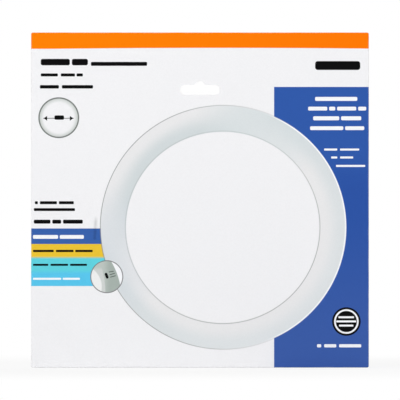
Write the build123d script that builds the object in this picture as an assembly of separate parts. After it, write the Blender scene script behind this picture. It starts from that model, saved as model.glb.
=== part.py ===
from build123d import *
import os

# A sealed folding carton for a ring lamp, with a hang slot near its top. It is folded from one sheet of
# board and glued shut. Millimetres. The carton stands on its lower end: X runs along the front panel, Y
# from the front panel to the back panel and Z up, and the origin is the middle of the lower end.

# Carton
pack_width = 324.0
pack_height = 321.5
pack_depth = 36.0
board = 0.6  # thickness of the sheet
fold_radius = 0.8  # outside radius of a fold

# Closed ends: two side flaps, then the back panel's long flap, then the front panel's long flap on top
flap_edge_gap = 0.5  # from the front flap's cut edge to the start of the back panel's fold
flap_end_gap = 0.2  # from both ends of the long flaps to the start of the upright folds

# Glued seam up the back left corner, where the left side panel's cut edge lies over the back panel's tab
seam_gap = 1.4  # from that cut edge to the back panel

# Hang slot through the front and back panels
slot_width = 38.1
slot_height = 9.5
slot_end_flat = 1.5  # straight stretch between the two rounded corners at each end
slot_peak_width = 9.6
slot_peak_rise = 3.6
slot_peak_blend = 1.0  # radius where the peak runs into the slot's upper edge
slot_drop = 55.0  # from the top of the carton to the middle of the slot

# Hollow between the two panels, where a shop's hook passes
hook_space_beside = 24.0  # past each end of the slot
hook_space_over = 14.0  # above the slot's peak
hook_space_under = 20.0  # below the slot


def flap_section():
    """The carton seen from its right: each end has the front panel's flap over the back panel's flap."""
    front = -pack_depth / 2
    back = pack_depth / 2
    flap_edge = back - fold_radius - flap_edge_gap
    corners = [
        (front, 0),
        (flap_edge, 0),
        (flap_edge, board),
        (back, board),
        (back, pack_height - board),
        (flap_edge, pack_height - board),
        (flap_edge, pack_height),
        (front, pack_height),
    ]
    radii = [fold_radius, 0, 0, fold_radius, fold_radius, 0, 0, fold_radius]
    return Plane.YZ * make_face(FilletPolyline(*corners, radius=radii, close=True))


def folded_panels():
    """The four panels with their side flaps folded in, two boards below the long flaps."""
    height = pack_height - 4 * board
    block = Pos(0, 0, pack_height / 2) * Box(pack_width, pack_depth, height)
    return fillet(block.edges(), fold_radius)


def seam_step():
    """What the left side panel's cut edge leaves open along the back left corner, one board deep."""
    corner = (-pack_width / 2, pack_depth / 2, pack_height / 2)
    return Pos(*corner) * Box(2 * board, 2 * seam_gap, pack_height)


def slot_outline():
    """A long slot with rounded corners and a round peak in the middle of its upper edge."""
    upper = slot_height / 2
    corner_radius = (slot_height - slot_end_flat) / 2
    peak_start = (-slot_peak_width / 2, upper)
    peak_top = (0, upper + slot_peak_rise)
    peak_end = (slot_peak_width / 2, upper)
    peak = make_face([ThreePointArc(peak_start, peak_top, peak_end), Line(peak_end, peak_start)])
    outline = RectangleRounded(slot_width, slot_height, corner_radius) + peak
    inner_corners = [outline.vertices().sort_by_distance(end)[0] for end in (peak_start, peak_end)]
    return fillet(inner_corners, slot_peak_blend)


def hook_space():
    """The hollow behind the slot, from the inside of the front board to the inside of the back board."""
    width = slot_width + 2 * hook_space_beside
    over = slot_height / 2 + slot_peak_rise + hook_space_over
    under = slot_height / 2 + hook_space_under
    middle = pack_height - slot_drop + (over - under) / 2
    return Pos(0, 0, middle) * Box(width, pack_depth - 2 * board, over + under)


def sealed_carton():
    """The folded carton, shut at both ends, with the slot and the hollow behind it cut out."""
    flap_reach = pack_width / 2 - fold_radius - flap_end_gap
    long_flaps = extrude(flap_section(), amount=flap_reach, both=True)
    slot_place = Plane.XZ * Pos(0, pack_height - slot_drop)
    slot = extrude(slot_place * slot_outline(), amount=pack_depth / 2, both=True)
    return folded_panels() + long_flaps - seam_step() - slot - hook_space()


os.makedirs("parts", exist_ok=True)
carton = sealed_carton()
carton.label = "sealed_carton"
export_step(carton, "parts/sealed_carton.step")
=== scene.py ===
import math
from functools import reduce

import bmesh
import bpy
import numpy
from mathutils import Color, Matrix, Vector, noise


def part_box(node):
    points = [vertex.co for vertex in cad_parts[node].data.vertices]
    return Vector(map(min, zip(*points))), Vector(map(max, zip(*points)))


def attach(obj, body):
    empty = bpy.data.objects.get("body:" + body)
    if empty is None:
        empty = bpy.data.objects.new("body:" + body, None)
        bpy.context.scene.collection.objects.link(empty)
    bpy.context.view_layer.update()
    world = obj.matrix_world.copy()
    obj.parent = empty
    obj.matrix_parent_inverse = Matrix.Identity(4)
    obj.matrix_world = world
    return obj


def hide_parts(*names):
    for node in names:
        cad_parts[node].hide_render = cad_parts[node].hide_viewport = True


# A sealed folding carton with a hang slot: one sheet of printed board, cut, folded and glued shut.

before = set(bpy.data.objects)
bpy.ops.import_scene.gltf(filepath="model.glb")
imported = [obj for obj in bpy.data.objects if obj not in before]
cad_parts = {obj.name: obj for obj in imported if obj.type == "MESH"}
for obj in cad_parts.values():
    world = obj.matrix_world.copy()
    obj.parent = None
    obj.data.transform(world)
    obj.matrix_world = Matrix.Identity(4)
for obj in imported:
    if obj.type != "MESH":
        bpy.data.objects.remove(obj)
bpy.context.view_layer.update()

MM = 0.001
TINY = 0.001 * MM
RIGHT = Vector((1, 0, 0))
UP = Vector((0, 0, 1))
QUARTER_TURN = math.pi / 2

# Carton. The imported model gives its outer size. The sheet starts as a flat blank in the front panel's
# plane, where places to the right are "along" and places above the floor are "up".
PACK_LOW, PACK_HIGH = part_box("sealed_carton")
WIDTH = PACK_HIGH.x - PACK_LOW.x
DEPTH = PACK_HIGH.y - PACK_LOW.y
HEIGHT = PACK_HIGH.z - PACK_LOW.z
FRONT = PACK_LOW.y
BOARD = 0.6 * MM
PLY = 0.56 * MM  # the board as drawn, a little thin so that lapped boards lie clear of each other
CELL = 6 * MM  # size of the mesh's squares
SHARP_ANGLE = math.radians(40)  # edges that turn by more are shaded as sharp ones
BLANK_LAYER = "blank"  # keeps each point's place on the flat blank

# Folds, each rolled as a few small creases
FOLD_RADIUS = 0.8 * MM
FOLD_STEPS = 4
CREASE = 2 * FOLD_RADIUS * math.sin(QUARTER_TURN / FOLD_STEPS / 2)  # from one crease to the next
FOLD = FOLD_STEPS * CREASE

# Flaps and glue tab
FLAP_EDGE_GAP = 0.5 * MM  # from the front flap's cut edge to the back panel's fold
FLAP_END_GAP = 0.2 * MM  # from a flap's ends to the upright folds
FLAP = DEPTH - 2 * FOLD_RADIUS - FLAP_EDGE_GAP
FLAP_STEPS = 6
CORNER_DROP = 0.2 * MM  # from a panel's flaps down to the ends of its upright folds
SEAM_GAP = 1.4 * MM  # from the left panel's cut edge to the back panel
TAB = 14 * MM
TAB_STEPS = 3

# Places along the blank, from the left panel's cut edge to the tab
FRONT_FLAT = WIDTH - 2 * FOLD_RADIUS
LEFT_FLAT = DEPTH - FOLD_RADIUS - SEAM_GAP
RIGHT_FLAT = DEPTH - 2 * FOLD_RADIUS
BACK_FLAT = FRONT_FLAT - BOARD
FRONT_START = -FRONT_FLAT / 2
LEFT_START = FRONT_START - FOLD - LEFT_FLAT
RIGHT_START = FRONT_START + FRONT_FLAT + FOLD
BACK_START = RIGHT_START + RIGHT_FLAT + FOLD
BACK_MIDDLE = BACK_START + FRONT_FLAT / 2
TAB_START = BACK_START + BACK_FLAT + FOLD
BLANK_END = TAB_START + TAB

# Middles of the upright folds along the blank
LEFT_FOLD = FRONT_START - FOLD / 2
RIGHT_FOLD = RIGHT_START - FOLD / 2
BACK_FOLD = BACK_START - FOLD / 2
TAB_FOLD = TAB_START - FOLD / 2

# Each panel's start along the blank, its flat length, and how many boards lie over its flaps
PANELS = (
    (LEFT_START, LEFT_FLAT, 2),
    (FRONT_START, FRONT_FLAT, 0),
    (RIGHT_START, RIGHT_FLAT, 2),
    (BACK_START, BACK_FLAT, 1),
)
MOST_BOARDS = 2
SIDE_SCORE = MOST_BOARDS * BOARD + FOLD_RADIUS  # height at which the side flaps' lower folds begin

# Hang slot
SLOT_WIDTH = 38.1 * MM
SLOT_HEIGHT = 9.5 * MM
SLOT_END_FLAT = 1.5 * MM
SLOT_PEAK_WIDTH = 9.6 * MM
SLOT_PEAK_RISE = 3.6 * MM
SLOT_PEAK_BLEND = 1.0 * MM
SLOT_DROP = 55.0 * MM
SLOT_WINDOW = 4 * MM  # room for the mesh round the slot
SLOT_CORNER_STEPS = 6
SLOT_BLEND_STEPS = 3
SLOT_PEAK_STEPS = 5  # from the blend to the middle

# Small unevenness of the panels
SAG = 0.45 * MM
SAG_FADE = 45 * MM  # how far in from a fold a panel sags fully
SAG_EVEN = 0.6  # share of the sag that is the same all over a panel
SAG_SWING = 0.4  # share that comes and goes
SAG_WAVE = 110 * MM

# Dent in the front panel
DENT_ALONG = -100.3 * MM
DENT_LOW = 121.5 * MM
DENT_HIGH = 147.0 * MM
DENT_LEAN = 1.4 * MM  # how much further right its upper end is than its lower end
DENT_HALF_WIDTH = 1.4 * MM
DENT_DEPTH = 0.4 * MM
DENT_CUTS = 8


def stations(start, runs):
    """Places along the sheet: each run has a length and a number of equal steps."""
    places = [start]
    for length, steps in runs:
        begin = places[-1]
        places += [begin + length * (step + 1) / steps for step in range(steps)]
    return places


def panel_runs(length):
    """A panel's steps: a short one at each end, past the ends of its flaps, and equal ones between."""
    return [
        (FLAP_END_GAP, 1),
        (length - 2 * FLAP_END_GAP, round(length / CELL)),
        (FLAP_END_GAP, 1),
    ]


def flat_blank():
    """The sheet as a grid, with a line of the grid on every crease."""
    fold = [(FOLD, FOLD_STEPS)]
    across = []
    for start, length, boards in PANELS:
        across += panel_runs(length) + fold
    columns = stations(LEFT_START, across + [(TAB, TAB_STEPS)])
    panel = HEIGHT - 2 * SIDE_SCORE
    flap = [(FLAP, FLAP_STEPS)]
    rows = stations(SIDE_SCORE - FOLD - FLAP, flap + fold + [(panel, round(panel / CELL))] + fold + flap)
    last_column = len(columns) - 1
    last_row = len(rows) - 1
    half = 0.5  # of the grid's side, before its lines go to their places
    blank = bmesh.new()
    bmesh.ops.create_grid(blank, x_segments=last_column, y_segments=last_row, size=half)
    for vert in blank.verts:
        column = round((vert.co.x + half) * last_column)
        row = round((vert.co.y + half) * last_row)
        vert.co = (columns[column], FRONT, rows[row])
    return blank


def flap_span(start, length):
    """Where a panel's flaps begin and end along the blank."""
    return start + FLAP_END_GAP - TINY, start + length - FLAP_END_GAP + TINY


def in_flaps(along):
    """Whether a place along the blank lies within a panel's flaps."""
    spans = [flap_span(start, length) for start, length, boards in PANELS]
    return any(first <= along <= last for first, last in spans)


def past_score(up):
    """1 at the upper flaps, -1 at the lower flaps and 0 on the panels between."""
    return (up > HEIGHT - SIDE_SCORE - TINY) - (up < SIDE_SCORE + TINY)


def cut_flaps(blank):
    """Cuts the waste from between the flaps and sets each panel's scores and corners at their height."""
    waste = []
    for face in blank.faces:
        middle = face.calc_center_median()
        if past_score(middle.z) and not in_flaps(middle.x):
            waste.append(face)
    bmesh.ops.delete(blank, geom=waste, context="FACES")
    ends = []
    rises = []
    for start, length, boards in PANELS:
        rise = (MOST_BOARDS - boards) * BOARD
        ends += [start, start + length]
        rises += [rise, rise]
    for vert in blank.verts:
        if vert.co.x < TAB_START - TINY:
            rise = float(numpy.interp(vert.co.x, ends, rises))
            if not in_flaps(vert.co.x):
                rise += FOLD_RADIUS - CORNER_DROP
            vert.co.z += past_score(vert.co.z) * rise


def each_once(items):
    """The items without repeats, in their own order, which a set wouldn't keep."""
    return list(dict.fromkeys(items))


def line_on(sheet, vert, offset):
    """Draws a straight run from a vertex and returns its end."""
    made = bmesh.ops.extrude_vert_indiv(sheet, verts=[vert])
    bmesh.ops.translate(sheet, verts=made["verts"], vec=offset)
    return made["verts"][0]


def arc_on(sheet, vert, middle, angle, steps):
    """Draws an arc from a vertex, anticlockwise as seen from the front, and returns its end."""
    made = bmesh.ops.spin(
        sheet, geom=[vert], cent=middle, axis=(0, -1, 0), angle=angle, steps=steps, use_duplicate=False
    )
    return made["geom_last"][0]


def slot_outline(sheet, middle):
    """Draws the slot's outline: its right half from the bottom to the peak, then the mirrored half."""
    others = set(sheet.edges)
    half_height = SLOT_HEIGHT / 2
    corner_radius = (SLOT_HEIGHT - SLOT_END_FLAT) / 2
    corner_along = SLOT_WIDTH / 2 - corner_radius
    corner_up = half_height - corner_radius
    lower_corner = middle + RIGHT * corner_along - UP * corner_up
    upper_corner = middle + RIGHT * corner_along + UP * corner_up
    peak_radius = ((SLOT_PEAK_WIDTH / 2) ** 2 + SLOT_PEAK_RISE**2) / (2 * SLOT_PEAK_RISE)
    peak_middle = middle + UP * (half_height + SLOT_PEAK_RISE - peak_radius)
    apart = peak_radius + SLOT_PEAK_BLEND
    blend_rise = apart - SLOT_PEAK_RISE
    blend_along = math.sqrt(apart**2 - blend_rise**2)
    blend_middle = middle + RIGHT * blend_along + UP * (half_height + SLOT_PEAK_BLEND)
    blend_turn = math.acos(blend_rise / apart)
    tip = sheet.verts.new(middle - UP * half_height)
    tip = line_on(sheet, tip, RIGHT * corner_along)
    tip = arc_on(sheet, tip, lower_corner, QUARTER_TURN, SLOT_CORNER_STEPS)
    tip = line_on(sheet, tip, UP * SLOT_END_FLAT)
    tip = arc_on(sheet, tip, upper_corner, QUARTER_TURN, SLOT_CORNER_STEPS)
    tip = line_on(sheet, tip, RIGHT * (blend_along - corner_along))
    tip = arc_on(sheet, tip, blend_middle, -blend_turn, SLOT_BLEND_STEPS)
    arc_on(sheet, tip, peak_middle, blend_turn, SLOT_PEAK_STEPS)
    half = [edge for edge in sheet.edges if edge not in others]
    half_verts = each_once(vert for edge in half for vert in edge.verts)
    bmesh.ops.mirror(sheet, geom=[*half, *half_verts], matrix=Matrix.Translation(-middle), axis="X")
    whole = [edge for edge in sheet.edges if edge not in others]
    whole_verts = each_once(vert for edge in whole for vert in edge.verts)
    bmesh.ops.remove_doubles(sheet, verts=whole_verts, dist=TINY)
    return [edge for edge in sheet.edges if edge not in others]


def cut_slot(sheet, along):
    """Opens a window in the grid round a slot and fills it up to the slot's outline."""
    middle = Vector((along, FRONT, HEIGHT - SLOT_DROP))
    window = []
    for face in sheet.faces:
        offset = face.calc_center_median() - middle
        beside = abs(offset.x) < SLOT_WIDTH / 2 + SLOT_WINDOW
        under = offset.z > -SLOT_HEIGHT / 2 - SLOT_WINDOW
        over = offset.z < SLOT_HEIGHT / 2 + SLOT_PEAK_RISE + SLOT_WINDOW
        if beside and under and over:
            window.append(face)
    inner = set(window)
    sides = each_once(edge for face in window for edge in face.edges)
    border = [edge for edge in sides if not inner.issuperset(edge.link_faces)]
    bmesh.ops.delete(sheet, geom=window, context="FACES")
    edges = [*border, *slot_outline(sheet, middle)]
    bmesh.ops.triangle_fill(sheet, edges=edges, normal=(0, -1, 0), use_beauty=True)


def refine_dent(sheet):
    """Splits the front panel's squares finely where the dent goes."""
    squares = []
    for face in sheet.faces:
        middle = face.calc_center_median()
        beside = abs(middle.x - DENT_ALONG) < CELL
        if beside and DENT_LOW - CELL < middle.z < DENT_HIGH + CELL:
            squares.append(face)
    edges = each_once(edge for face in squares for edge in face.edges)
    bmesh.ops.subdivide_edges(sheet, edges=edges, cuts=DENT_CUTS, use_grid_fill=True)


def fade_in(distance, length):
    """0 at an edge, rising smoothly to 1 at a length from it."""
    share = min(max(distance / length, 0), 1)
    return share * share * (3 - 2 * share)


def settle_panels(sheet):
    """Lets the front and back panels sag inwards a little, unevenly, between their folds."""
    for vert in sheet.verts:
        wave = SAG_EVEN + SAG_SWING * noise.noise(vert.co / SAG_WAVE)
        up_edge = min(vert.co.z - SIDE_SCORE, HEIGHT - SIDE_SCORE - vert.co.z)
        for start, length in ((FRONT_START, FRONT_FLAT), (BACK_START, BACK_FLAT)):
            side_edge = min(vert.co.x - start, start + length - vert.co.x)
            vert.co.y += SAG * wave * fade_in(up_edge, SAG_FADE) * fade_in(side_edge, SAG_FADE)


def press_dent(sheet):
    """Presses the dent, a short crease that leans a little to the right, into the front panel."""
    tall = DENT_HIGH - DENT_LOW
    for vert in sheet.verts:
        above = vert.co.z - DENT_LOW
        middle = DENT_ALONG + DENT_LEAN * (above / tall - 1 / 2)
        across = fade_in(DENT_HALF_WIDTH - abs(vert.co.x - middle), DENT_HALF_WIDTH)
        vert.co.y += DENT_DEPTH * across * fade_in(min(above, tall - above), tall / 2)


def fold(sheet, flat, score, outward, axis, turn, span=(LEFT_START, BLANK_END)):
    """Rolls what lies past a score through a quarter turn, from the fold's last crease to its first."""
    for crease in reversed(range(FOLD_STEPS + 1)):
        line = score + outward * CREASE * crease
        share = 1 / 2 if crease in (0, FOLD_STEPS) else 1  # the outermost creases turn half as far
        turned = []
        for vert in sheet.verts:
            place = vert[flat]
            if (place - line).dot(outward) > TINY and span[0] - TINY <= place.x <= span[1] + TINY:
                turned.append(vert)
        matrix = Matrix.Rotation(turn * share / FOLD_STEPS, 3, axis)
        bmesh.ops.rotate(sheet, cent=line, matrix=matrix, verts=turned)


def fold_up(sheet, flat):
    """Folds the flaps in, then the upright folds: the tab first, then the back, right and left panels."""
    for start, length, boards in PANELS:
        span = flap_span(start, length)
        score = boards * BOARD + FOLD_RADIUS
        fold(sheet, flat, Vector((0, FRONT, HEIGHT - score)), UP, "X", -QUARTER_TURN, span)
        fold(sheet, flat, Vector((0, FRONT, score)), -UP, "X", QUARTER_TURN, span)
    for start in (TAB_START, BACK_START, RIGHT_START):
        fold(sheet, flat, Vector((start - FOLD, FRONT, 0)), RIGHT, "Z", QUARTER_TURN)
    fold(sheet, flat, Vector((FRONT_START, FRONT, 0)), -RIGHT, "Z", -QUARTER_TURN)


def thicken(sheet):
    """Gives the sheet the board's thickness and returns its outside, its inside and its cut edges."""
    sheet.normal_update()
    outer = sheet.faces[:]
    made = bmesh.ops.solidify(sheet, geom=outer, thickness=PLY)
    inner = [item for item in made["geom"] if isinstance(item, bmesh.types.BMFace)]
    sides = {*outer, *inner}
    rims = [face for face in sheet.faces if face not in sides]
    rims.sort(key=lambda face: tuple(face.calc_center_median()))
    # Solidify adds the cut edges in no fixed order, so all faces are put in one that every run repeats
    for index, face in enumerate([*outer, *inner, *rims]):
        face.index = index
    sheet.faces.sort()
    for slot, faces in enumerate((outer, inner, rims)):
        for face in faces:
            face.material_index = slot
            face.smooth = True
    sheet.normal_update()
    for edge in sheet.edges:
        edge.smooth = edge.calc_face_angle(0) < SHARP_ANGLE
    return outer, inner, rims


# Where the bake map of the sheet puts each part of the blank: the front panel gets most of it
BAKE_PLACES = (LEFT_START, LEFT_FOLD, RIGHT_FOLD, BACK_FOLD, BLANK_END)
BAKE_SHARES = (0.0, 0.06, 0.76, 0.82, 1.0)
BAKE_OUTER_TOP = 0.9  # the outside lies below this
BAKE_INNER = (0.915, 0.995)  # lower and upper edge of the inside
BAKE_INNER_WIDTH = 0.96
BAKE_EDGES = (0.97, 0.92)  # lower left corner of a small square that all cut edges share
BAKE_EDGES_SIDE = 0.02


def lay_bake_map(sheet, flat, outer, inner, rims):
    """Lays the sheet out flat on the bake map: the outside, the inside above it, and the cut edges."""
    bake = sheet.loops.layers.uv.new("OFBake")
    lowest = min(vert[flat].z for vert in sheet.verts)
    tallest = max(vert[flat].z for vert in sheet.verts) - lowest
    for face in outer:
        for loop in face.loops:
            place = loop.vert[flat]
            share = float(numpy.interp(place.x, BAKE_PLACES, BAKE_SHARES))
            loop[bake].uv = (share, BAKE_OUTER_TOP * (place.z - lowest) / tallest)
    for face in inner:
        for loop in face.loops:
            place = loop.vert[flat]
            share = (place.x - LEFT_START) / (BLANK_END - LEFT_START)
            rise = BAKE_INNER[0] + (BAKE_INNER[1] - BAKE_INNER[0]) * (place.z - lowest) / tallest
            loop[bake].uv = (BAKE_INNER_WIDTH * share, rise)
    corners = ((0, 0), (1, 0), (1, 1), (0, 1))
    for face in rims:
        for loop, (over, up) in zip(face.loops, corners):
            loop[bake].uv = (BAKE_EDGES[0] + BAKE_EDGES_SIDE * over, BAKE_EDGES[1] + BAKE_EDGES_SIDE * up)


def placed(name, data):
    """Puts a new object in the scene."""
    made = bpy.data.objects.new(name, data)
    bpy.context.scene.collection.objects.link(made)
    return made


def placed_mesh(name, sheet, materials):
    """Puts a finished mesh in the scene as an object with its materials."""
    mesh = bpy.data.meshes.new(name)
    sheet.to_mesh(mesh)
    sheet.free()
    for material in materials:
        mesh.materials.append(material)
    return placed(name, mesh)


def folded_carton(materials):
    """The carton: one sheet, cut, folded and given the board's thickness."""
    sheet = flat_blank()
    cut_flaps(sheet)
    refine_dent(sheet)
    for along in (0, BACK_MIDDLE):
        cut_slot(sheet, along)
    sheet.normal_update()
    bmesh.ops.reverse_faces(sheet, faces=[face for face in sheet.faces if face.normal.y > 0])
    flat = sheet.verts.layers.float_vector.new(BLANK_LAYER)
    for vert in sheet.verts:
        vert[flat] = vert.co
    settle_panels(sheet)
    press_dent(sheet)
    fold_up(sheet, flat)
    outer, inner, rims = thicken(sheet)
    lay_bake_map(sheet, flat, outer, inner, rims)
    return placed_mesh("carton", sheet, materials)


# The print, in millimetres on the flat blank: along from the front panel's middle, up from its lower edge
PRINT_FADE = 0.3  # how softly a printed edge ends
BAR_CORNER = 0.3  # a bar's corner radius, as a share of its height

# The Mix node's sockets for colours, which can't be told apart by name
MIX_SHARE = 0
MIX_GROUND = 6
MIX_COLOUR = 7
MIX_RESULT = 2


def ink(red, green, blue):
    """A printed colour, from its usual numbers of 0 to 255."""
    return (*Color((red / 255, green / 255, blue / 255)).from_srgb_to_scene_linear(), 1)


class Value:
    """A shader socket that can be reckoned with in Python expressions."""

    def __init__(self, tree, socket=None):
        self.tree = tree
        self.socket = socket

    def node(self, kind, settings, inputs, output=0):
        """Adds a node, sets it up, gives its sockets values or links, and returns one of its outputs."""
        node = self.tree.nodes.new(kind)
        for name, setting in settings.items():
            setattr(node, name, setting)
        for name, value in inputs.items():
            if isinstance(value, Value):
                self.tree.links.new(value.socket, node.inputs[name])
            else:
                node.inputs[name].default_value = value
        return Value(self.tree, node.outputs[output])

    def into(self, node, name):
        """Leads this value into one of a node's sockets."""
        self.tree.links.new(self.socket, node.inputs[name])

    def maths(self, operation, *operands, clamp=False):
        """Adds a Math node with these operands, in their order."""
        settings = {"operation": operation, "use_clamp": clamp}
        return self.node("ShaderNodeMath", settings, dict(enumerate(operands)))

    def vector(self, operation, *others, output="Vector"):
        """Adds a Vector Math node with this vector first."""
        operands = dict(enumerate((self, *others)))
        return self.node("ShaderNodeVectorMath", {"operation": operation}, operands, output)

    def __add__(self, other):
        return self.maths("ADD", self, other)

    def __radd__(self, other):
        return self.maths("ADD", other, self)

    def __sub__(self, other):
        return self.maths("SUBTRACT", self, other)

    def __rsub__(self, other):
        return self.maths("SUBTRACT", other, self)

    def __mul__(self, other):
        return self.maths("MULTIPLY", self, other)

    def __rmul__(self, other):
        return self.maths("MULTIPLY", other, self)

    def __truediv__(self, other):
        return self.maths("DIVIDE", self, other)

    def __rtruediv__(self, other):
        return self.maths("DIVIDE", other, self)

    def __abs__(self):
        return self.maths("ABSOLUTE", self)

    def least(self, other):
        return self.maths("MINIMUM", self, other)

    def most(self, other):
        return self.maths("MAXIMUM", self, other)

    def root(self):
        return self.maths("SQRT", self)

    def kept_to_share(self):
        """This value, kept between 0 and 1."""
        return self.maths("ADD", self, 0, clamp=True)

    def rise(self, start, end):
        """0 up to the start, 1 from the end on and a smooth rise between. The end may be the lower one."""
        settings = {"interpolation_type": "SMOOTHSTEP"}
        inputs = {"Value": self, "From Min": start, "From Max": end}
        return self.node("ShaderNodeMapRange", settings, inputs)

    def inside(self, fade=PRINT_FADE):
        """1 inside a shape and 0 outside it, from the distance to its edge."""
        return self.maths("MULTIPLY_ADD", self, -1 / fade, 1 / 2, clamp=True)

    def blend(self, ground, colour):
        """Mixes two colours, with this value as the second one's share."""
        inputs = {MIX_SHARE: self, MIX_GROUND: ground, MIX_COLOUR: colour}
        return self.node("ShaderNodeMix", {"data_type": "RGBA"}, inputs, MIX_RESULT)

    def clouds(self, size, detail):
        """A cloudy pattern between 0 and 1 at this place."""
        return self.node("ShaderNodeTexNoise", {}, {"Vector": self, "Scale": 1 / size, "Detail": detail})


class Print:
    """Flat shapes of ink laid one over another, each given by the distance to its edge."""

    def __init__(self, blank, paper):
        along = blank.node("ShaderNodeSeparateXYZ", {}, {"Vector": blank}, "X")
        up = blank.node("ShaderNodeSeparateXYZ", {}, {"Vector": blank}, "Z")
        self.along = along / MM
        self.up = up / MM
        self.place = blank.node("ShaderNodeCombineXYZ", {}, {"X": self.along, "Y": self.up})
        self.colour = paper

    def lay(self, colour, distance, fade=PRINT_FADE):
        """Prints a shape over what is there."""
        self.colour = distance.inside(fade).blend(self.colour, colour)

    def tint(self, colour, share):
        """Shades what is there with a share of a colour."""
        self.colour = share.blend(self.colour, colour)

    def circle(self, middle, radius):
        """Distance from a circle, less than 0 inside it."""
        return self.place.vector("DISTANCE", (*middle, 0), output="Value") - radius

    def oval(self, middle, half_width, half_height):
        """Distance from a nearly round oval, less than 0 inside it."""
        offset = self.place.vector("SUBTRACT", (*middle, 0))
        share = offset.vector("DIVIDE", (half_width, half_height, 1))
        return (share.vector("LENGTH", output="Value") - 1) * half_height

    def line(self, distance, width):
        """1 on a line of a given width along a shape's edge, and 0 beside it."""
        return (abs(distance) - width / 2).inside()

    def stroke(self, start, end, width):
        """Distance from a straight stroke with round ends."""
        reach = Vector((*end, 0)) - Vector((*start, 0))
        from_start = self.place.vector("SUBTRACT", (*start, 0))
        onto = from_start.vector("DOT_PRODUCT", reach / reach.length_squared, output="Value")
        inputs = {"Vector": reach, "Scale": onto.kept_to_share()}
        nearest = onto.node("ShaderNodeVectorMath", {"operation": "SCALE"}, inputs)
        return from_start.vector("DISTANCE", nearest, output="Value") - width / 2

    def bars(self, middle, tall, spans):
        """Distance from a row of plain bars with rounded corners."""
        corner = tall * BAR_CORNER
        gaps = [abs(self.along - (left + length / 2)) - (length / 2 - corner) for left, length in spans]
        beside = reduce(Value.least, gaps).most(0)
        above = (abs(self.up - middle) - (tall / 2 - corner)).most(0)
        return (beside * beside + above * above).root() - corner


PAPER = ink(241, 241, 243)
BLACK = ink(9, 9, 10)
WHITE = ink(246, 247, 250)

# Band round the top
BAND_LEFT = ink(252, 128, 1)
BAND_RIGHT = ink(253, 120, 1)
BAND_EDGE = 306.8  # its lower edge, where it is highest
BAND_BOW = 0.95  # how much lower that edge is at the panel's sides
BAND_BOW_MIDDLE = 20.0  # where along the panel it is highest

# Field at the right, carried over the right panel to the back panel's fold
FIELD_LOWER = ink(61, 93, 166)
FIELD_MIDDLE = ink(45, 83, 163)
FIELD_UPPER = ink(49, 89, 168)
FIELD_MIDDLE_AT = 168.0  # height at which its ink is the middle one
FIELD_UPPER_AT = 212.0  # height from which it is the upper one
FIELD_LEFT = 71.1
FIELD_RIGHT = BACK_FOLD / MM
FIELD_TOP = 269.3
FIELD_BLEED = 4.0  # past the lower fold

# Four coloured bars at the left, carried over the left panel: each one's ink, upper edge and its softness
COLOUR_BARS = (
    (ink(57, 97, 170), 133.5, PRINT_FADE),
    (ink(234, 195, 54), 118.6, PRINT_FADE),
    (ink(96, 210, 223), 105.6, 2.2),
    (ink(90, 198, 236), 91.8, 4.0),
)
COLOUR_BARS_LOW = 78.3
COLOUR_BARS_RIGHT = -75.0  # hidden under the ring

# Ring, a little wider than tall: middle, half width and half height of its outer edge and of its hole
RING_OUTER = ((22.6, 134.6), 117.8, 116.6)
RING_INNER = ((21.75, 134.6), 92.6, 91.6)

# Shading of the ring. A reach is where a shade starts and where it is full, as cosines of the angle from
# the direction that it faces.
RING_LIT = ink(232, 232, 233)
RING_SHADE_DARK = ink(209, 216, 218)
RING_SHADE_PALE = ink(222, 226, 228)
RING_LIGHT_FROM = math.radians(130)
RING_LIGHT_TURN = math.cos(math.radians(55))  # where the lit side passes from the outer half to the inner
RING_LIGHT_CHANGE = 2.4  # how fast it passes
RING_HALVES = (-0.6, 0.6)  # from the shaded half to the lit half, across the ring

# Flat shade where the lit side passes: ink, direction and share
RING_TURNS = (
    (ink(213, 219, 226), math.radians(192), 0.4),
    (ink(214, 222, 224), math.radians(68), 0.6),
)
RING_TURN_REACH = (0.8, 1.0)

# Fine lines along the ring's edges
RING_LINE = ink(126, 130, 130)
RING_LINE_WIDTH = 0.8
RING_OUTER_LINE_SHARE = 0.75
RING_OUTER_LINE_FROM = math.pi
RING_OUTER_LINE_REACH = (-0.9, 0.6)
RING_INNER_LINE_SHARES = (0.25, 0.6)  # where it is palest and where it is darkest
RING_INNER_LINE_FROM = math.radians(-60)
RING_INNER_LINE_REACH = (-0.8, 0.8)
RING_RIM_WIDTH = 1.3  # white rim at the right
RING_RIM_FROM = 0
RING_RIM_REACH = (0.3, 0.6)

# Round inset over the ring: a piece of the lamp's housing with its slide switch, from the inset's middle
INSET = (-89.4, 87.2)
INSET_RADIUS = 15.35
INSET_LINE = ink(128, 128, 130)
INSET_LINE_WIDTH = 0.9
INSET_FADE = 1.0  # how softly the housing's rounded forms end
HOUSING_PALE = ink(189, 197, 192)
HOUSING = ink(166, 177, 171)
HOUSING_TURN = (-5.0, 4.0)  # where it turns from pale to full shade
HOUSING_MIDDLE = (-52.53, -19.92)
HOUSING_RADIUS = 66.42
RIDGE = ink(206, 210, 208)
RIDGE_TOP = (10.0, 6.0)  # where it fades out
RIDGE_MIDDLE = (-77.42, -14.15)
RIDGE_RADIUS = 75.96
DIFFUSER = ink(238, 239, 238)
DIFFUSER_MIDDLE = (-25.27, -9.65)
DIFFUSER_RADIUS = 20.5
SWITCH = ((-0.7, 2.4), (0.4, -0.5), 2.7)  # start, end and width
MARK = ink(84, 94, 88)
MARK_WIDTH = 0.8
MARKS = (((2.3, 4.5), (6.3, 5.2)), ((3.0, 1.9), (7.4, 3.2)), ((3.6, -0.4), (8.2, 0.9)))  # start and end

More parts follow.
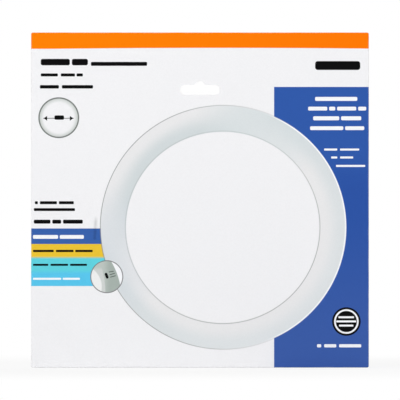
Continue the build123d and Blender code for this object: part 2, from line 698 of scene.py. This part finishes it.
# Round sign with a double arrow
SIGN = (-135.45, 239.75)
SIGN_RADIUS = 18.95
SIGN_LINE = ink(112, 118, 115)
SIGN_LINE_WIDTH = 1.25
SIGN_SHADE = ink(200, 205, 202)
SIGN_SHADE_WIDTH = 5.2
ARROW_UP = 239.2
ARROW_TIPS = (-149.9, -121.5)
ARROW_HEAD = 3.3
ARROW_HEAD_HALF = 2.3
ARROW_LINE = ink(112, 116, 116)
ARROW_LINE_WIDTH = 0.8

# Round badge on the field
BADGE = (140.5, 44.2)
BADGE_RADIUS = 13.7
BADGE_RING_RADIUS = 10.95
BADGE_RING_WIDTH = 1.6

# Rows of plain bars: middle height, bar height, and each bar's left end and length
BLACK_BARS = (
    (293.1, 6.2, ((-152.7, 27.9), (-122.9, 15.4))),
    (291.4, 3.8, ((-104.6, 53.9),)),
    (280.8, 2.9, ((-152.7, 16.4), (-133.5, 13.6), (-118.4, 6.1))),
    (269.4, 3.3, ((-153.6, 18.3), (-132.5, 29.9))),
    (239.9, 4.2, ((-139.6, 9.2),)),
    (158.2, 2.9, ((-158.4, 2.9), (-153.6, 16.4), (-135.4, 14.4))),
    (151.6, 2.8, ((-159.4, 39.5),)),
    (140.0, 3.8, ((-159.4, 16.0), (-141.7, 8.5), (-131.4, 19.0))),
    (111.9, 2.2, ((-160.2, 19.9), (-138.2, 16.9), (-119.7, 16.8))),
    (98.6, 2.0, ((-160.2, 14.7), (-143.4, 16.9), (-124.6, 16.2))),
    (289.8, 8.5, ((110.5, 43.3),)),
)
WHITE_BARS = (
    (125.4, 3.6, ((-160.2, 24.1), (-134.5, 23.1))),
    (85.2, 1.9, ((-160.2, 27.0), (-131.6, 16.4))),
    (257.8, 3.8, ((110.5, 40.4),)),
    (248.5, 3.6, ((103.8, 18.3), (124.0, 5.8), (131.6, 18.3), (151.8, 7.7))),
    (239.2, 3.8, ((108.6, 25.0), (135.4, 19.3))),
    (229.7, 3.6, ((105.7, 31.8), (139.3, 18.3))),
    (209.2, 1.9, ((119.2, 12.5), (134.5, 18.3))),
    (201.6, 1.9, ((125.9, 5.8), (134.5, 12.5))),
    (193.5, 1.9, ((130.6, 27.9),)),
    (48.3, 1.8, ((132.9, 14.9),)),
    (44.3, 1.8, ((130.8, 19.1),)),
    (40.3, 1.8, ((133.5, 13.7),)),
    (20.9, 3.0, ((112.4, 3.9), (119.2, 11.6), (133.5, 21.2))),
)

# Wear, painted shade along the dent, and mottle
BARE_BOARD = ink(236, 234, 230)
WEAR_WIDTH = 1.0  # beside a fold
WEAR_SHARE = 0.22
WEAR_PATCH = 14 * MM
WEAR_CLOUDS = (0.35, 0.75)  # where in a cloudy pattern the wear starts and where it is full
# Painted shade along the dent: darkens the print where the crease lies in shade
DENT_SHADE = ink(20, 24, 28)
DENT_SHADE_WIDTH = 2.6
DENT_SHADE_SHARE = 0.25
DENT_SHADE_FADE = 8.0  # at its upper end
MOTTLE = 1.6 * MM
MOTTLE_SHARE = 0.02
MOTTLE_CLOUDS = (0.3, 0.7)
CLOUD_DETAIL = 4

# Finish of the board
SHEEN_LEVEL = 0.03
PRINT_ROUGHNESS = 0.4
PRINT_ROUGHNESS_SWING = 0.1
PRINT_BUMP = 0.5
FIBRE = 0.9 * MM
FIBRE_HEIGHT = 0.02 * MM
FIBRE_DETAIL = 3
RAW_ROUGHNESS = 0.85
RAW_BUMP = 0.6
RAW_FIBRE_HEIGHT = 0.04 * MM
RAW_FIBRE_DETAIL = 5
RAW_CLOUDS = (0.3, 0.7)

# Bare board: its pale and its dark grey and the size of its fibres
BOARD_INSIDE = (ink(236, 234, 229), ink(222, 219, 213), 2.5 * MM)
BOARD_EDGE = (ink(226, 223, 217), ink(206, 202, 194), 0.8 * MM)


def lay_fields(sheet):
    """Prints the coloured bars at the left and the large field at the right."""
    bars = (sheet.along - COLOUR_BARS_RIGHT).most(COLOUR_BARS_LOW - sheet.up).inside()
    for colour, top, fade in COLOUR_BARS:
        sheet.tint(colour, bars * (sheet.up - top).inside(fade))
    field = sheet.up.rise(0, FIELD_MIDDLE_AT).blend(FIELD_LOWER, FIELD_MIDDLE)
    field = sheet.up.rise(FIELD_MIDDLE_AT, FIELD_UPPER_AT).blend(field, FIELD_UPPER)
    across = (FIELD_LEFT - sheet.along).most(sheet.along - FIELD_RIGHT)
    sheet.lay(field, across.most(sheet.up - FIELD_TOP).most(-FIELD_BLEED - sheet.up))


def lay_ring(sheet):
    """Prints the ring: a lit and a shaded half that change places round it, and fine lines at its edges."""
    outer = sheet.oval(*RING_OUTER)
    inner = sheet.oval(*RING_INNER)
    spoke = sheet.place.vector("SUBTRACT", (*RING_INNER[0], 0)).vector("NORMALIZE")

    def facing(angle):
        toward = (math.cos(angle), math.sin(angle), 0)
        return spoke.vector("DOT_PRODUCT", toward, output="Value")

    side = ((facing(RING_LIGHT_FROM) - RING_LIGHT_TURN) * RING_LIGHT_CHANGE).least(1).most(-1)
    across = 2 * inner / (inner - outer) - 1
    shade = facing(RING_LIGHT_FROM).rise(-1, 1).blend(RING_SHADE_PALE, RING_SHADE_DARK)
    tube = (across * side).rise(*RING_HALVES).blend(shade, RING_LIT)
    for colour, angle, share in RING_TURNS:
        tube = (facing(angle).rise(*RING_TURN_REACH) * share).blend(tube, colour)
    sheet.lay(tube, outer)
    sheet.lay(PAPER, inner)
    outer_line = sheet.line(outer - RING_LINE_WIDTH / 2, RING_LINE_WIDTH)
    strength = facing(RING_OUTER_LINE_FROM).rise(*RING_OUTER_LINE_REACH) * RING_OUTER_LINE_SHARE
    sheet.tint(RING_LINE, outer_line * strength)
    rim = sheet.line(outer + RING_RIM_WIDTH / 2, RING_RIM_WIDTH)
    sheet.tint(WHITE, rim * facing(RING_RIM_FROM).rise(*RING_RIM_REACH))
    inner_line = sheet.line(inner - RING_LINE_WIDTH, RING_LINE_WIDTH)
    palest, darkest = RING_INNER_LINE_SHARES
    dark = facing(RING_INNER_LINE_FROM).rise(*RING_INNER_LINE_REACH)
    sheet.tint(RING_LINE, inner_line * (palest + (darkest - palest) * dark))


def lay_inset(sheet):
    """Prints the round inset."""
    def from_middle(place):
        return (INSET[0] + place[0], INSET[1] + place[1])

    edge = sheet.circle(INSET, INSET_RADIUS)
    sheet.lay(WHITE, edge)
    housing = (sheet.along - INSET[0]).rise(*HOUSING_TURN).blend(HOUSING_PALE, HOUSING)
    sheet.lay(housing, edge.most(sheet.circle(from_middle(HOUSING_MIDDLE), HOUSING_RADIUS)))
    ridge = edge.most(sheet.circle(from_middle(RIDGE_MIDDLE), RIDGE_RADIUS)).inside(INSET_FADE)
    sheet.tint(RIDGE, ridge * (sheet.up - INSET[1]).rise(*RIDGE_TOP))
    diffuser = edge.most(sheet.circle(from_middle(DIFFUSER_MIDDLE), DIFFUSER_RADIUS))
    sheet.lay(DIFFUSER, diffuser, INSET_FADE)
    start, end, width = SWITCH
    sheet.lay(BLACK, sheet.stroke(from_middle(start), from_middle(end), width))
    for start, end in MARKS:
        sheet.lay(MARK, sheet.stroke(from_middle(start), from_middle(end), MARK_WIDTH))
    sheet.lay(INSET_LINE, abs(edge) - INSET_LINE_WIDTH / 2)


def lay_sign(sheet):
    """Prints the round sign and its double arrow."""
    edge = sheet.circle(SIGN, SIGN_RADIUS)
    sheet.tint(SIGN_SHADE, edge.rise(-SIGN_SHADE_WIDTH, 0) * edge.inside())
    sheet.lay(SIGN_LINE, abs(edge) - SIGN_LINE_WIDTH / 2)
    left, right = ARROW_TIPS
    sheet.lay(ARROW_LINE, sheet.stroke((left, ARROW_UP), (right, ARROW_UP), ARROW_LINE_WIDTH))
    from_tip = (right - left) / 2 - abs(sheet.along - (left + right) / 2)
    slope = abs(sheet.up - ARROW_UP) - from_tip * (ARROW_HEAD_HALF / ARROW_HEAD)
    sheet.lay(BLACK, slope.most(from_tip - ARROW_HEAD))


def lay_badge(sheet):
    """Prints the round badge."""
    sheet.lay(BLACK, sheet.circle(BADGE, BADGE_RADIUS))
    sheet.lay(WHITE, abs(sheet.circle(BADGE, BADGE_RING_RADIUS)) - BADGE_RING_WIDTH / 2)


def lay_bars(sheet):
    """Prints the rows of plain bars."""
    for colour, rows in ((BLACK, BLACK_BARS), (WHITE, WHITE_BARS)):
        for middle, tall, spans in rows:
            sheet.lay(colour, sheet.bars(middle, tall, spans))


def lay_band(sheet):
    """Prints the band round the top."""
    beside = (sheet.along - BAND_BOW_MIDDLE) / (WIDTH / 2 / MM)
    colour = beside.rise(-1, 1).blend(BAND_LEFT, BAND_RIGHT)
    sheet.lay(colour, BAND_EDGE - BAND_BOW * (beside * beside).least(1) - sheet.up)


def lay_dent_shade(sheet):
    """Paints the dent's shade: darkens the print along the crease as painted shade."""
    low = ((DENT_ALONG - DENT_LEAN / 2) / MM, DENT_LOW / MM + DENT_SHADE_WIDTH)
    high = ((DENT_ALONG + DENT_LEAN / 2) / MM, DENT_HIGH / MM)
    near = sheet.stroke(low, high, 0).rise(DENT_SHADE_WIDTH, 0)
    sheet.tint(DENT_SHADE, near * (high[1] - sheet.up).rise(0, DENT_SHADE_FADE) * DENT_SHADE_SHARE)


def lay_wear(sheet, blank):
    """Rubs the print off in patches along the folds and mottles it a little all over."""
    gaps = [abs(sheet.up - HEIGHT / MM), abs(sheet.up)]
    gaps += [abs(sheet.along - place / MM) for place in (LEFT_FOLD, RIGHT_FOLD, BACK_FOLD, TAB_FOLD)]
    near = reduce(Value.least, gaps).rise(WEAR_WIDTH, 0)
    patches = blank.clouds(WEAR_PATCH, CLOUD_DETAIL).rise(*WEAR_CLOUDS)
    sheet.tint(BARE_BOARD, near * patches * WEAR_SHARE)
    sheet.tint(BLACK, blank.clouds(MOTTLE, CLOUD_DETAIL).rise(*MOTTLE_CLOUDS) * MOTTLE_SHARE)


def board_material(name):
    """A new material, its shader, and the place on the flat blank that its patterns follow."""
    made = bpy.data.materials.new(name)
    made.use_nodes = True
    shader = made.node_tree.nodes["Principled BSDF"]
    shader.inputs["Specular IOR Level"].default_value = SHEEN_LEVEL
    blank = Value(made.node_tree).node("ShaderNodeAttribute", {"attribute_name": BLANK_LAYER}, {}, "Vector")
    return made, shader, blank


def raise_fibres(shader, fibre, strength, height):
    """Gives a board's surface its low relief."""
    relief = {"Strength": strength, "Distance": height, "Height": fibre}
    fibre.node("ShaderNodeBump", {}, relief).into(shader, "Normal")


def printed_board():
    """The outside: print on coated board, a little worn along the folds, with painted shade along the dent.
    """
    made, shader, blank = board_material("printed_board")
    sheet = Print(blank, PAPER)
    lay_fields(sheet)
    lay_ring(sheet)
    lay_inset(sheet)
    lay_sign(sheet)
    lay_badge(sheet)
    lay_bars(sheet)
    lay_band(sheet)
    lay_dent_shade(sheet)
    lay_wear(sheet, blank)
    sheet.colour.into(shader, "Base Color")
    fibre = blank.clouds(FIBRE, FIBRE_DETAIL)
    roughness = PRINT_ROUGHNESS + PRINT_ROUGHNESS_SWING * (fibre - 1 / 2)
    roughness.into(shader, "Roughness")
    raise_fibres(shader, fibre, PRINT_BUMP, FIBRE_HEIGHT)
    return made


def raw_board(name, pale, dark, grain):
    """Bare board: soft fibres in two greys."""
    made, shader, blank = board_material(name)
    fibre = blank.clouds(grain, RAW_FIBRE_DETAIL)
    fibre.rise(*RAW_CLOUDS).blend(dark, pale).into(shader, "Base Color")
    raise_fibres(shader, fibre, RAW_BUMP, RAW_FIBRE_HEIGHT)
    shader.inputs["Roughness"].default_value = RAW_ROUGHNESS
    return made


carton = folded_carton(
    (
        printed_board(),
        raw_board("board_inside", *BOARD_INSIDE),
        raw_board("board_edge", *BOARD_EDGE),
    )
)
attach(carton, "root")
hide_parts("sealed_carton")

# Camera, far in front of the carton and level with the slot, to look straight through it
PHOTO_PIXELS = 400
PHOTO_LEFT = 31.1  # the photo's pixels at the carton's edges
PHOTO_RIGHT = 368.8
PHOTO_TOP = 32.8
PHOTO_BOTTOM = 367.3
PIXEL = WIDTH / (PHOTO_RIGHT - PHOTO_LEFT)
CAMERA_DISTANCE = 14.0
CAMERA_UP = HEIGHT - SLOT_DROP
CAMERA_REACH = 100.0
SENSOR = 36.0
camera_data = bpy.data.cameras.new("camera")
camera_data.sensor_width = SENSOR
camera_data.lens = SENSOR * CAMERA_DISTANCE / (PHOTO_PIXELS * PIXEL)
camera_data.clip_end = CAMERA_REACH
camera = placed("camera", camera_data)
aim_along = (PHOTO_PIXELS - PHOTO_LEFT - PHOTO_RIGHT) / 2 * PIXEL
aim_up = HEIGHT / 2 + (PHOTO_TOP + PHOTO_BOTTOM - PHOTO_PIXELS) / 2 * PIXEL
camera.location = (aim_along, FRONT - CAMERA_DISTANCE, CAMERA_UP)
camera.rotation_euler = (QUARTER_TURN - math.atan2(CAMERA_UP - aim_up, CAMERA_DISTANCE), 0, 0)
bpy.context.scene.camera = camera
bpy.context.scene.view_settings.view_transform = "Standard"

# Stage
FLOOR = ink(245, 245, 245)
FLOOR_SIZE = 12.0
FLOOR_GLOW = 0.8  # how much of the floor's own shade gives way to plain white near the carton
FLOOR_NEAR = 0.22
FLOOR_FAR = 0.75  # from here on all of it does
WORLD_LEVEL = 0.48

# Large soft lamps: name, place and power
LAMP_SIZE = 2.0
LAMPS = (
    ("key", (-1.6, -3.0, 1.7), 57),
    ("fill", (2.2, -2.4, 1.2), 18),
    ("back", (0.8, 3.0, 1.2), 44),
)


def seen_directly(start):
    """1 for rays that show the background itself: from the camera, and through gloss or glass."""
    kinds = ("Is Camera Ray", "Is Glossy Ray", "Is Transmission Ray")
    rays = [start.node("ShaderNodeLightPath", {}, {}, kind) for kind in kinds]
    return reduce(Value.most, rays)


def white_floor():
    """A large pale floor that keeps a soft shadow."""
    made = bpy.data.materials.new("floor")
    made.use_nodes = True
    start = Value(made.node_tree)
    shade = start.node("ShaderNodeBsdfDiffuse", {}, {"Color": FLOOR})
    glow = start.node("ShaderNodeEmission", {}, {"Strength": 1})
    place = start.node("ShaderNodeTexCoord", {}, {}, "Object")
    away = place.vector("LENGTH", output="Value").rise(FLOOR_NEAR, FLOOR_FAR)
    share = seen_directly(start) * (FLOOR_GLOW + (1 - FLOOR_GLOW) * away)
    mixed = start.node("ShaderNodeMixShader", {}, {0: share, 1: shade, 2: glow})
    mixed.into(made.node_tree.nodes["Material Output"], "Surface")
    sheet = bmesh.new()
    bmesh.ops.create_grid(sheet, x_segments=1, y_segments=1, size=FLOOR_SIZE / 2)
    return placed_mesh("floor", sheet, (made,))


def white_world():
    """An even white surround, dimmer as a light than as a background."""
    world = bpy.data.worlds.new("world")
    world.use_nodes = True
    background = world.node_tree.nodes["Background"]
    background.inputs["Color"].default_value = (1, 1, 1, 1)
    level = WORLD_LEVEL + (1 - WORLD_LEVEL) * seen_directly(Value(world.node_tree))
    level.into(background, "Strength")
    bpy.context.scene.world = world


def soft_light(name, place, power):
    """A large square lamp aimed at the carton's middle."""
    data = bpy.data.lights.new(name, "AREA")
    data.size = LAMP_SIZE
    data.energy = power
    lamp = placed(name, data)
    lamp.location = place
    aim = Vector((0, 0, HEIGHT / 2)) - Vector(place)
    lamp.rotation_euler = aim.to_track_quat("-Z", "Y").to_euler()


white_floor()
white_world()
for name, place, power in LAMPS:
    soft_light(name, place, power)
